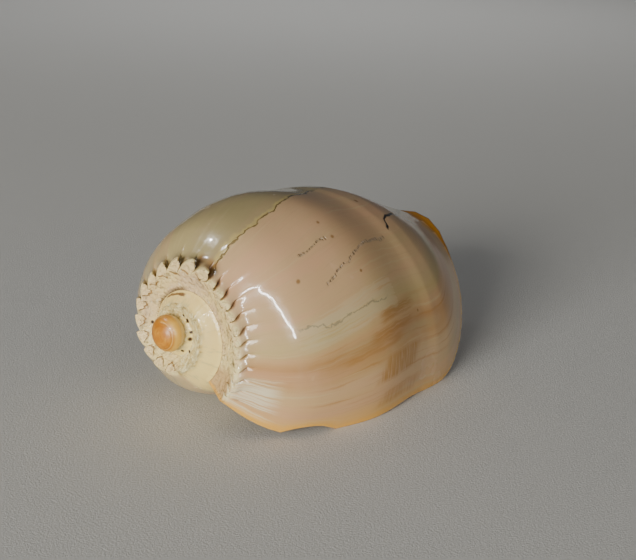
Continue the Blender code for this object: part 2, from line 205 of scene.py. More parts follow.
# Mesh
DIFFERENCE = 0.004
COLUMNS = 650
SEAM_COLUMNS = COLUMNS - round(COLUMNS * SEAM_LEAD_TURNS)
HOLLOW_COLUMNS = 560
FIRST_COLUMN = -1500
RAMP_ROWS = (
    -1.0, -0.96, -0.92, -0.87, -0.8, -0.72, -0.63, -0.54, -0.45, -0.37, -0.3, -0.24, -0.18, -0.13, -0.09,
    -0.055, -0.025,
)
CROWN_ROWS = (0.0, 0.006, 0.012, 0.019, 0.027, 0.037, 0.05, 0.067, 0.088, 0.112)
WELD_ROWS = (SEAM_AT, 0.154, 0.172, SEAM_INSIDE)
BODY_ROWS = tuple(SEAM_INSIDE + (1.0 - SEAM_INSIDE) * k / 50 for k in range(1, 51))
OUTER_ROWS = RAMP_ROWS + CROWN_ROWS + WELD_ROWS + BODY_ROWS
SEAM_ROW = OUTER_ROWS.index(SEAM_AT)
WELD_ROW = OUTER_ROWS.index(SEAM_INSIDE)
INNER_ROWS = (-0.45, -0.27, -0.1, 0.0, 0.04, 0.08, 0.12) + tuple(0.16 + 0.028 * k for k in range(31))
HIDDEN_STEP = 4  # columns per triangle inside
LIP_CURVES = 7

# Camera of the photograph, solved from it together with the shell's axis
PHOTO_WIDTH = 636
PHOTO_HEIGHT = 560
FOCAL_PIXELS = 1111.4
CAMERA_AZIMUTH = -52.026
CAMERA_ELEVATION = 20.066
CAMERA_ROLL = 1.956
CAMERA_DISTANCE = 546.9  # from the apex point, along the line of sight
APEX_PIXEL = (172.46, 331.96)
SENSOR = 36.0

# Studio light: directions as azimuth and elevation in degrees, sizes in metres, power in watts
LIGHT_CENTRE = (0.0, 0.0, 0.05)
LIGHT_DISTANCE = 3.5
KEY_AT = (-80.0, 12.0)
KEY_SIZE = 1.7
KEY_POWER = 162.0
KEY_COLOUR = (1.0, 0.97, 0.9)
FILL_AT = (-10.0, 50.0)
FILL_SIZE = 1.6
FILL_POWER = 6.0
FAR_AT = (1.5, 1.2, 1.5)  # evens the floor beyond the shell
FAR_SIZE = 1.6
FAR_POWER = 5.0
FAR_SPREAD = math.radians(100.0)
# Thin bars and a small light seen only as reflections. Spots on the shell are in millimetres
GLOSS_DISTANCE = 1.3
BAR_SPOT = (-80.0, -32.0, 68.0)
BAR_ENDS = (
    (-85.0, 21.0), (-83.0, 31.0), (-74.0, 42.0), (-60.0, 40.0), (-46.0, 34.0),
    (-36.0, 20.0), (-28.0, 6.0),
)
BAR_WIDTH = 0.04
BAR_POWER = 14.0  # per metre of bar
SPARK_SPOT = (-77.0, 6.0, 92.0)
SPARK_AT = (-156.9, 52.3)
SPARK_SIZE = 0.035
SPARK_POWER = 6.0
WORLD_GREY = 0.6
WORLD_STRENGTH = 0.14
FLOOR_REACH = 8.0

# Colours as the 0 to 255 values of a picture. Growth times are in degrees
BODY_COLOURS = (
    (-400.0, (206, 184, 132)), (-200.0, (198, 178, 126)), (-118.0, (190, 172, 122)),
    (-100.0, (206, 172, 130)), (-84.0, (214, 174, 134)), (-62.0, (210, 174, 130)),
    (-48.0, (208, 178, 132)), (-41.0, (202, 178, 124)), (-36.0, (206, 168, 118)),
    (-31.0, (190, 144, 92)), (-24.0, (200, 158, 104)), (-19.0, (212, 178, 130)),
    (-8.0, (216, 174, 122)), (-3.0, (226, 178, 104)), (0.0, (230, 170, 76)),
)
FLOWS = {  # noise along growth lines: rates in time and place, detail, seed, roughness
    "drift": (5.0, 2.2, 2.0, 0.0, 0.55),
    "streak": (26.0, 2.6, 3.0, 0.0, 0.6),
    "lines": (75.0, 5.0, 3.0, 0.0, 0.7),
    "veil": (38.0, 3.0, 2.0, 4.0, 0.55),
    "threads": (6.0, 260.0, 1.0, 0.0, 0.55),
    "fibres": (60.0, 9.0, 3.0, 2.0, 0.6),
    "pale": (46.0, 7.0, 3.0, 5.0, 0.6),
    "veins": (9.0, 8.0, 2.0, 0.0, 0.55),
    "folds": (58.0, 5.0, 2.0, 9.0, 0.55),
}
# Patches: from and to in degrees, soft edge, from and to on the profile, soft edge
STREAKED = (-37.0, -12.0, 7.0, 0.24, 0.6, 0.1)
PALE = (-49.0, -40.0, 3.0, 0.18, 0.4, 0.05)
STAIN = (-116.0, -104.0, 5.0, 0.02, 0.055, 0.02)
FAN = (-24.0, -4.0, 4.0, 0.0, 0.075, 0.05)
BLOTCHES = (  # from and to in degrees, from and to on the profile, strength
    (-22.0, -15.5, 0.375, 0.47, 0.62),
    (-9.0, -5.5, 0.375, 0.47, 0.42),
)
BLOTCH_SLANT = 0.0035
STREAKS = (  # from and to in degrees, from and to on the profile, strength
    (-39.0, -36.5, 0.375, 0.465, 0.65),
    (-33.5, -31.5, 0.34, 0.45, 0.6),
    (-30.5, -27.5, 0.27, 0.4, 0.45),
)
SPOTS = (  # degrees, place on the profile, radius in millimetres
    (-68.0, 0.188, 2.08), (-74.0, 0.338, 1.76), (-82.5, 0.338, 1.92),
    (-88.0, 0.569, 1.76), (-34.0, 0.5, 1.28), (-57.0, 0.35, 0.96),
)
SPOT_CORE = 0.3125  # share of a spot's radius that has its full colour
SPOT_WOBBLE = 3.0
APEX_PITS = (  # x, y, z and radius in millimetres
    (-92.2, 10.6, 55.6, 0.96), (-92.1, 7.9, 53.4, 1.44), (-92.8, 5.0, 48.1, 1.08),
    (-93.6, 4.9, 44.6, 1.68), (-94.2, 9.6, 37.4, 1.08), (-92.9, 6.0, 37.7, 1.08),
    (-91.3, 33.8, 45.2, 1.08),
)
PIT_CORE = 0.5
PIT_WOBBLE = 0.0008  # metres
# Painted shade of the crevice beside the seam on the whorl before, as a dark brown line
CREVICE = (-522.0, -484.0, 4.0)  # from and to in degrees, soft edge
CREVICE_PLACE = 0.112
SCOOP_AT = 0.52  # crescent at a tooth's foot: middle and half length in its step
SCOOP_HALF = 0.4
SCOOP_FROM = 0.5  # how far on the ramp its ends and its middle lie
SCOOP_DEEP = 2.3
LINE_SHADE = (0.9, 0.9, 0.9, 1.0)
WALL_GLOSS = 0.25
WALL_COAT = 0.6
CHALK_COAT = 0.08
COAT_ROUGHNESS = 0.035
# How deep the wall's bumps are, in metres
LINES_DEEP = 0.00003
SWELLS_DEEP = 0.0002
POCKS_DEEP = 0.0022
GRAIN_DEEP = 0.0014
CUTS_DEEP = 0.0005


def part_way(value, low, high):
    """0 at low and 1 at high, straight between. Low may be the larger."""
    return np.clip((value - low) / (high - low), 0.0, 1.0)


def bell(value, middle, width):
    """1 in the middle, falling away smoothly over a width on both sides."""
    return np.exp(-((value - middle) / width) ** 2)


def spline(places, values, at):
    """Natural cubic spline through the values, read at the given places."""
    places = np.asarray(places, float)
    values = np.asarray(values, float)
    step = np.diff(places)
    count = len(places)
    system = np.eye(count)
    right = np.zeros(count)
    for i in range(1, count - 1):
        system[i, i - 1:i + 2] = step[i - 1], 2.0 * (step[i - 1] + step[i]), step[i]
        rise = (values[i + 1] - values[i]) / step[i]
        right[i] = 6.0 * (rise - (values[i] - values[i - 1]) / step[i - 1])
    bend = np.linalg.solve(system, right)
    k = np.clip(np.searchsorted(places, at) - 1, 0, count - 2)
    a = (places[k + 1] - at) / step[k]
    b = 1.0 - a
    curve = ((a ** 3 - a) * bend[k] + (b ** 3 - b) * bend[k + 1]) * step[k] ** 2 / 6.0
    return a * values[k] + b * values[k + 1] + curve


PROFILE_POINTS = np.array(PROFILE)
PROFILE_RUN = np.concatenate(([0.0], np.cumsum(np.linalg.norm(np.diff(PROFILE_POINTS, axis=0), axis=1))))
PROFILE_LENGTH = float(PROFILE_RUN[-1])


def body_profile(v):
    """Radius and depth of the wall between the crown, v = 0, and the front end, v = 1."""
    radius = spline(PROFILE_RUN / PROFILE_LENGTH, PROFILE_POINTS[:, 0], v)
    depth = spline(PROFILE_RUN / PROFILE_LENGTH, PROFILE_POINTS[:, 1], v)
    return radius, depth


SEAM_SHRINK = math.exp(-GROWTH * TURN * SEAM_COLUMNS / COLUMNS)
SEAM_RADIUS, SEAM_DEPTH = (SEAM_SHRINK * float(x) for x in body_profile(np.array(SEAM_AT)))
RAMP_LENGTH = math.hypot(PROFILE[0][0] - SEAM_RADIUS, PROFILE[0][1] - SEAM_DEPTH)


def profile(v):
    """Radius and depth from the seam, v = -1, over the crown to the front end."""
    body_radius, body_depth = body_profile(np.clip(v, 0.0, 1.0))
    up = np.clip(1.0 + v, 0.0, 1.0)
    ramp_radius = SEAM_RADIUS + (PROFILE[0][0] - SEAM_RADIUS) * up
    ramp_depth = SEAM_DEPTH + (PROFILE[0][1] - SEAM_DEPTH) * up ** RAMP_CURVE
    return np.where(v < 0.0, ramp_radius, body_radius), np.where(v < 0.0, ramp_depth, body_depth)


def lag(v):
    """Lag of the growth lines along the profile, in radians."""
    places, values = zip(*LAG)
    body = spline(places, values, np.clip(v, 0.0, 1.0))
    seam = float(spline(places, values, np.array(SEAM_AT))) - 360.0 * SEAM_LEAD_TURNS
    ramp = LAG[0][1] + (seam - LAG[0][1]) * np.clip(-v, 0.0, 1.0)
    return np.radians(np.where(v < 0.0, ramp, body))


def place(axial, across, up):
    """Point from its distances along the axis, across it and above it, with the shell lying down."""
    tilt = math.radians(TILT)
    x = APEX_X + axial * math.cos(tilt) + up * math.sin(tilt)
    y = APEX_Y - across
    z = AXIS_HEIGHT - axial * math.sin(tilt) + up * math.cos(tilt)
    return np.stack(np.broadcast_arrays(x, y, z), axis=-1)


def around(angle, radius, axial):
    """Point at an angle about the axis, as the lip's own turn counts it."""
    phi = math.radians(LIP_TURN) - angle
    return place(axial, radius * np.cos(phi), radius * np.sin(phi))


def spine_phase(size):
    """Count of spines from the apex to where the shell has this size."""
    count = PROFILE[0][0] / (SPINE_STEP * GROWTH) * size
    return count + SPINE_CROWDING * np.maximum(0.0, size - CROWDING_FROM) + SPINE_PHASE


def crown_run(v, size):
    """Distance from the crown's edge: negative on the ramp, positive on the body."""
    return np.where(v < 0.0, v * RAMP_LENGTH, v * PROFILE_LENGTH) * size


def spine_form(t, v, size):
    """Saw-toothed form of the crown from 0 to 1, the hollows in front of the teeth, and the crown's run."""
    phase = spine_phase(size)
    tooth = np.floor(phase)
    x = np.mod(phase, 1.0)
    climb = np.sin(0.5 * math.pi * part_way(x, 0.0, SPINE_RISE)) ** SPINE_BULGE
    drop = part_way(x, SPINE_RISE, SPINE_RISE + SPINE_DROP)
    run = crown_run(v, size)
    front = np.minimum(np.abs(x - HOLLOW_AT), np.abs(x + 1.0 - HOLLOW_AT))
    hollow = bell(front, 0.0, HOLLOW_LENGTH) * bell(run, HOLLOW_OUT * size, HOLLOW_WIDTH)
    own = 1.0 + sum(share * np.sin(rate * tooth + start) for share, rate, start in SPINE_OWN)
    filled = GAP_FILL * part_way(np.degrees(t), FILL_FROM, FILL_FROM - FILL_OVER)
    return filled + (1.0 - filled) * climb * (1.0 - drop) * own, hollow, run


def old_share(degrees):
    """1 on the whorls before the last, 0 on the last."""
    return part_way(degrees, OLD_FROM, OLD_FROM - OLD_OVER)


def relief(t, v, size):
    """Outward height of spines, ribs and hollows, and the lean of the spines towards the lip."""
    saw, hollow, run = spine_form(t, v, size)
    degrees = np.degrees(t)
    older = old_share(degrees)
    foot = np.where(run < 0.0, SPINE_INNER, SPINE_OUTER) * (1.0 - (1.0 - OLD_FOOT) * older)
    worn = 1.0 - WORN_BY * part_way(degrees, -WORN_FROM, 0.0)
    tall = 1.0 + SPINE_PEAK * bell(degrees, PEAK_AT, PEAK_WIDTH)
    ending = part_way(degrees, 0.0, -SPINE_END)
    spine = SPINE_HEIGHT * size ** SPINE_FADE * worn * tall * ending * saw * bell(run, 0.0, foot)
    rib = RIB_HEIGHT * size * saw * np.exp(-np.clip(run, 0.0, None) / RIB_LENGTH)
    rib = rib * part_way(run, -SPINE_INNER, 0.0)
    carved = rib - HOLLOW_DEPTH * size * ending * hollow
    return spine + carved * (1.0 - older), SPINE_LEAN * spine


def growth_waves(t, v):
    """Low waves along the growth lines, and the ridges at the front end."""
    waves = sum(high * np.sin(rate * t + phase + WAVE_BEND * v) for rate, phase, high in WAVES)
    waves = waves * part_way(v, 0.0, WAVES_FADE) * part_way(t, 0.0, -WAVES_FADE)
    ridges = sum(high * bell(v, at, width) for at, width, high in FASCIOLE)
    return waves + ridges * part_way(t, 0.0, -FASCIOLE_FADE)


def line_offset(t, v, size, line):
    """Distance along the spiral from a line that crosses the growth lines."""
    places, degrees = zip(*line)
    return (t - np.radians(np.interp(v, places, degrees))) * size * profile(v)[0]


def scar_step(t, v, size):
    """How far the wall behind the scar stands back."""
    behind = -line_offset(t, v, size, SCAR_LINE)
    reach = part_way(v, *SCAR_BEGINS) * part_way(v, *SCAR_ENDS)
    return SCAR_STEP * reach * part_way(behind, 0.0, 1.0) * part_way(behind, SCAR_BACK, 0.0)


def ramp_relief(t, v, size):
    """Folds, beads and the trough on the ramp, lumps at the crown's inner foot, and the old nodules."""
    degrees = np.degrees(t)
    ramp = part_way(v, 0.0, -RAMP_FROM_CROWN) * part_way(v, -1.0, RAMP_FROM_SEAM - 1.0)
    fold = sum(share * np.sin(rate * t + bend * v) for rate, bend, share in RAMP_FOLDS)
    bead = np.abs(np.sin(BEAD_RATE * t)) * bell(v, BEAD_AT, BEAD_WIDTH)
    sink = SINK * bell(degrees, SINK_AT, SINK_OVER) * bell(v, SINK_PLACE, SINK_WIDTH)
    phase = TURN * spine_phase(size)
    reach, rate = UNEVEN
    uneven = 0.5 + 0.5 * np.sin(phase + reach * np.sin(rate * phase))
    run = crown_run(v, size)
    lump = RAMP_LUMP * size * bell(run, RAMP_LUMP_RUN * size, RAMP_LUMP_WIDTH * size)
    nodule = NODULE * bell(run, NODULE_RUN, NODULE_WIDTH) * old_share(degrees)
    return ramp * (RAMP_FOLD * size * fold + BEAD * bead * size ** 0.5 - sink) + uneven * (lump + nodule)


def fine_relief(t, v, size):
    """Outward height of all the relief that only the looks have."""
    height = growth_waves(t, v) - scar_step(t, v, size) + ramp_relief(t, v, size)
    return height * part_way(v, 1.0, 1.0 - FINE_FROM_END)


def chipped(t, v):
    """Growth time moved back where the lip has lost a chip."""
    near = part_way(t, -CHIP_REACH, 0.0)
    bite = np.clip(1.0 - ((v - CHIP_AT) / CHIP_HALF) ** 2, 0.0, 1.0) ** CHIP_ROUND
    return t - near * bite * CHIP_DEPTH / BODY_RADIUS


def smooth_wall(t, v, height=0.0, lean=0.0):
    """Outer face of the wall, raised by a height and leaned towards the lip where these are given."""
    t = chipped(t, v)
    size = np.exp(GROWTH * t)
    radius, depth = profile(v)
    up = math.radians(SPINE_UP)
    r = size * radius + height * math.cos(up)
    return around(t - lag(v) + lean / np.maximum(r, 1.0), r, size * depth - height * math.sin(up))


def outer_wall(t, v):
    """Outer face of the wall with all its relief."""
    t, v = np.broadcast_arrays(t, v)
    size = np.exp(GROWTH * t)
    height, lean = relief(t, v, size)
    return smooth_wall(t, v, height + fine_relief(t, v, size), lean)


def down_wall(t, v):
    """Step down the smooth wall, along a growth line towards the front end."""
    low = np.clip(v - DIFFERENCE, -1.0, 1.0)
    high = np.clip(v + DIFFERENCE, -1.0, 1.0)
    return smooth_wall(t, high) - smooth_wall(t, low)


def outward(t, v):
    """Unit normal of the smooth wall, pointing out of the shell."""
    along = smooth_wall(t + DIFFERENCE, v) - smooth_wall(t - DIFFERENCE, v)
    normal = np.cross(along, down_wall(t, v))
    return normal / np.linalg.norm(normal, axis=-1, keepdims=True)


def thickness(t, size):
    """Thickness of the wall, thinner towards the lip."""
    near = part_way(np.degrees(t), -WALL_THINS, 0.0)
    return (WALL + (WALL_AT_LIP - WALL) * near) * size ** 0.5


def inner_wall(t, v):
    """Inner face of the wall."""
    t, v = np.broadcast_arrays(t, v)
    size = np.exp(GROWTH * t)
    return smooth_wall(t, v) - outward(t, v) * thickness(t, size)[..., None]


def lip_curve(v, turn):
    """A line along the lip's rounded edge, between the outer face, turn 0, and the inner, turn pi."""
    t = np.zeros_like(v)
    outer = smooth_wall(t, v)
    inner = inner_wall(t, v)
    normal = outward(t, v)
    ahead = np.cross(down_wall(t, v), normal)
    ahead /= np.linalg.norm(ahead, axis=-1, keepdims=True)
    flare = FLARE * np.sin(math.pi * part_way(v, *FLARE_PLACES)) ** 2
    up = math.radians(FLARE_UP)
    reach = ahead * (EDGE_ROUND + flare * math.cos(up))[..., None]
    reach = reach + normal * (flare * math.sin(up))[..., None]
    return 0.5 * (outer + inner) + 0.5 * (outer - inner) * math.cos(turn) + reach * math.sin(turn)


Run = namedtuple("Run", "points at t v")


class Skin:
    """Vertices and triangles of one surface, with the growth time and place of each corner."""

    def __init__(self):
        self.blocks = []
        self.count = 0
        self.faces = []
        self.corners = []
        self.named = {}

    def add(self, points):
        """Add points and return their numbers. No point lies under the surface that the shell rests on."""
        points = np.array(points, float).reshape(-1, 3)
        points[:, 2] = np.maximum(points[:, 2], 0.0)
        self.blocks.append(points)
        self.count += len(points)
        return np.arange(self.count - len(points), self.count)

    def row(self, key, columns, make):
        """Numbers of one row's vertices, made where they don't exist yet."""
        known = self.named.setdefault(key, np.full(1 - FIRST_COLUMN, -1))
        missing = columns[known[columns] < 0]
        if len(missing):
            known[missing] = self.add(make(missing))
        return known[columns]

    def strip(self, a, b, side):
        """Triangles between two runs of vertices, paired by their places."""
        i = j = 0
        last_i = len(a.points) - 1
        last_j = len(b.points) - 1
        corner_a = [(t, v, side) for t, v in zip(a.t, a.v)]
        corner_b = [(t, v, side) for t, v in zip(b.t, b.v)]
        while i < last_i or j < last_j:
            if j == last_j or (i < last_i and a.at[i + 1] <= b.at[j + 1]):
                face = (a.points[i], a.points[i + 1], b.points[j])
                corners = (corner_a[i], corner_a[i + 1], corner_b[j])
                i += 1
            else:
                face = (a.points[i], b.points[j + 1], b.points[j])
                corners = (corner_a[i], corner_b[j + 1], corner_b[j])
                j += 1
            if len(set(face)) == 3:
                self.faces.append(face)
                self.corners += corners

    def fan(self, loop, centre, corner=(0.0, 0.0, 0.0)):
        """Triangles from a closed run of vertices to one point."""
        middle = self.add(centre)[0]
        loop = list(loop)
        for a, b in zip(loop, loop[1:] + loop[:1]):
            if a != b:
                self.faces.append((a, b, middle))
                self.corners += (corner,) * 3

    def mesh(self, name, marks):
        """The mesh, with its corners' growth and marks as attributes."""
        mesh = bpy.data.meshes.new(name)
        points = np.concatenate(self.blocks) * MM
        mesh.from_pydata(points.tolist(), [], [tuple(int(k) for k in face) for face in self.faces])
        t, v, side = np.array(self.corners, float).T
        values = {"growth_time": t, "growth_place": v, "inside": side}
        if marks:
            values.update(marks(t, v))
        for key, value in values.items():
            layer = mesh.attributes.new(key, "FLOAT", "CORNER")
            layer.data.foreach_set("value", np.asarray(value, np.float32))
        bm = bmesh.new()
        bm.from_mesh(mesh)
        bmesh.ops.recalc_face_normals(bm, faces=bm.faces)
        bm.to_mesh(mesh)
        bm.free()
        mesh.shade_smooth()
        return mesh


def time_of(columns):
    """Growth time of columns."""
    return TURN * np.asarray(columns, float) / COLUMNS


def columns_from(low, high, step):
    """Columns between two ends, on the multiples of a step, both ends included."""
    inner = [c for c in range(low, high + 1) if c % step == 0]
    return np.array(sorted(set([low, high] + inner)))


def outer_points(skin, row, columns):
    """Vertices of the outer face, shared with the whorl before along the seam."""
    if row > 0:
        return skin.row(("outer", row), columns, lambda c: outer_wall(time_of(c), OUTER_ROWS[row]))
    shared = columns - SEAM_COLUMNS >= FIRST_COLUMN
    points = np.empty(len(columns), int)
    if shared.any():
        points[shared] = outer_points(skin, SEAM_ROW, columns[shared] - SEAM_COLUMNS)
    if (~shared).any():
        own = columns[~shared]
        points[~shared] = skin.row(("outer", 0), own, lambda c: outer_wall(time_of(c), OUTER_ROWS[0]))
    return points


def outer_column(skin, column, rows):
    """Vertices of the outer face along one growth line."""
    return np.array([outer_points(skin, row, np.array([column]))[0] for row in rows])


def outer_run(skin, row, low, high, step=1):
    columns = columns_from(low, high, step)
    v = np.full(len(columns), OUTER_ROWS[row])
    t = time_of(columns)
    return Run(outer_points(skin, row, columns), t - lag(v), t, v)


def inner_run(skin, row):
    """One row of the inner face, where row 0 is its seam on the whorl before."""
    columns = columns_from(-HOLLOW_COLUMNS, 0, HIDDEN_STEP)
    t = time_of(columns)
    if row == 0:
        v = np.full(len(columns), -1.0)
        points = outer_points(skin, WELD_ROW, columns - SEAM_COLUMNS)
    else:
        v = np.full(len(columns), INNER_ROWS[row - 1])
        points = skin.row(("inner", row), columns, lambda c: inner_wall(time_of(c), INNER_ROWS[row - 1]))
    return Run(points, t - lag(v), t, v)


def outer_face(skin):
    """The outside, from the first whorls to the lip, and the wall that the opening looks onto."""
    back = -HOLLOW_COLUMNS - SEAM_COLUMNS
    for row in range(len(OUTER_ROWS) - 1):
        low = FIRST_COLUMN if row < SEAM_ROW else -SEAM_COLUMNS
        skin.strip(outer_run(skin, row, low, 0), outer_run(skin, row + 1, low, 0), 0.0)
        if row >= WELD_ROW:
            upper = outer_run(skin, row, back, -SEAM_COLUMNS, HIDDEN_STEP)
            skin.strip(upper, outer_run(skin, row + 1, back, -SEAM_COLUMNS, HIDDEN_STEP), 1.0)


def inner_face(skin):
    """The inside of the last whorl."""
    for row in range(len(INNER_ROWS)):
        skin.strip(inner_run(skin, row), inner_run(skin, row + 1), 1.0)


def lip(skin):
    """The rounded edge that joins the two faces at the lip."""
    rows = np.array(OUTER_ROWS)
    t = np.zeros(len(rows))
    points = outer_column(skin, 0, range(len(rows)))
    before = Run(points, rows, t, rows)
    first, last = points[0], points[-1]
    for k in range(1, LIP_CURVES):
        inside = skin.add(lip_curve(rows[1:-1], math.pi * k / LIP_CURVES))
        run = Run(np.concatenate(([first], inside, [last])), rows, t, rows)
        skin.strip(before, run, 0.0)
        before = run
    places = np.array((-1.0,) + INNER_ROWS)
    inner = np.array([inner_run(skin, r).points[-1] for r in range(len(places))])
    skin.strip(before, Run(inner, places, np.zeros(len(places)), places), 0.0)


def closures(skin):
    """The parts that the spindle and the apex cover: wall ends, the hollow's blind end, first whorl."""
    last = len(OUTER_ROWS) - 1
    last_inner = len(INNER_ROWS)
    back = -HOLLOW_COLUMNS - SEAM_COLUMNS
    outer_end = outer_run(skin, last, -HOLLOW_COLUMNS, 0)
    inner_end = inner_run(skin, last_inner)
    skin.strip(outer_end, inner_end, 1.0)

    before = outer_column(skin, back, range(WELD_ROW, last + 1))
    wall = np.array([inner_run(skin, r).points[0] for r in range(last_inner + 1)])
    runs = []
    for points in (before, wall):
        at = np.linspace(0.0, 1.0, len(points))
        runs.append(Run(points, at, np.full(len(at), time_of(back)), at))
    skin.strip(*runs, 1.0)

    helix = list(outer_run(skin, last, back, -SEAM_COLUMNS, HIDDEN_STEP).points)
    helix += list(outer_run(skin, last, -SEAM_COLUMNS, -HOLLOW_COLUMNS).points)
    middle = PROFILE[-1][1] * math.exp(GROWTH * time_of(-HOLLOW_COLUMNS - SEAM_COLUMNS // 2))
    skin.fan(helix + [inner_end.points[0]], around(0.0, 0.0, middle), (time_of(back), 1.0, 1.0))

    first = list(outer_run(skin, 0, FIRST_COLUMN, FIRST_COLUMN + SEAM_COLUMNS).points)
    first += list(outer_column(skin, FIRST_COLUMN, range(SEAM_ROW - 1, 0, -1)))
    skin.fan(first, around(0.0, 0.0, 0.0), (time_of(FIRST_COLUMN), 0.0, 0.0))


def wall_marks(t, v):
    """Where each corner lies on the crown, and how far from each marked line."""
    size = np.exp(GROWTH * t)
    hollow, run = spine_form(t, v, size)[1:]
    marks = {"spine_phase": spine_phase(size), "hollow": hollow, "crown_run": run}
    for name, mark in MARKS.items():
        marks[name] = line_offset(t, v, size, mark.line)
    return marks


def fold_turn(axial):
    """Angle that a fold has wound through when it reaches this distance along the axis."""
    return np.log(np.maximum(axial, 1.0)) / GROWTH


def spindle_radius(axial, angle):
    """Radius of the spindle, with folds that wind with the whorls."""
    radius = SPINDLE_RADIUS + SPINDLE_TAPER * axial
    fade = part_way(axial, FOLD_FROM, FOLD_FROM + FOLD_RISE)
    fade = fade * part_way(axial, SPINDLE_END, SPINDLE_END - FOLD_RUNOUT)
    for fold in FOLDS:
        turn = fold_turn(axial) - fold_turn(fold) - angle
        off = (np.mod(turn + math.pi, TURN) - math.pi) * GROWTH * axial
        radius = radius + FOLD_HEIGHT * fade * bell(off, 0.0, FOLD_WIDTH)
    tip = part_way(axial, SPINDLE_END, SPINDLE_END - SPINDLE_ROUND)
    return radius * np.sqrt(1.0 - (1.0 - tip) ** SPINDLE_BLUNT)


def turned(rings, ends):
    """A closed surface of rings about the axis. Each ring has its points and the place it is marked with."""
    skin = Skin()
    runs = []
    for points, mark in rings:
        numbers = skin.add(points)
        numbers = np.concatenate((numbers, numbers[:1]))
        count = len(numbers)
        runs.append(Run(numbers, np.arange(count), np.linspace(0.0, TURN, count), np.full(count, mark)))
    for a, b in zip(runs, runs[1:]):
        skin.strip(a, b, 0.0)
    for run, axial in zip((runs[0], runs[-1]), ends):
        skin.fan(run.points[:-1], around(0.0, 0.0, axial))
    return skin


def spindle(sides=120, rings=170):
    """The spindle on the axis."""
    angles = np.linspace(0.0, TURN, sides, endpoint=False)
    made = []
    for k in range(rings):
        share = 1.0 - (1.0 - k / rings) ** SPINDLE_CROWDING
        axial = SPINDLE_START + (SPINDLE_END - SPINDLE_START) * share
        wound = angles + fold_turn(axial)
        made.append((around(wound, spindle_radius(axial, wound), axial), axial))
    return turned(made, (SPINDLE_START, SPINDLE_END))


def apex(sides=96, rings=48):
    """The smooth round first whorls."""
    angles = np.linspace(0.0, TURN, sides, endpoint=False)
    start, growth = APEX_SUTURE
    made = []
    for k in range(1, rings):
        polar = math.pi * k / rings
        sunk = 1.0 - APEX_GROOVE / APEX_RADIUS * bell(polar, start + growth * angles, APEX_GROOVE_WIDTH)
        radius = APEX_RADIUS * math.sin(polar) * sunk
        axial = APEX_AT - APEX_HEIGHT * math.cos(polar) * sunk
        made.append((around(angles + APEX_TURN, radius, axial), polar))
    return turned(made, (APEX_AT - APEX_HEIGHT, APEX_AT + APEX_HEIGHT))


def linear(colour):
    """Linear colour from the 0 to 255 values that a picture shows. Output of a node stays as it is."""
    if not isinstance(colour, tuple):
        return colour
    shares = [value / 255.0 for value in colour]
    return (*(x / 12.92 if x <= 0.04045 else ((x + 0.055) / 1.055) ** 2.4 for x in shares), 1.0)


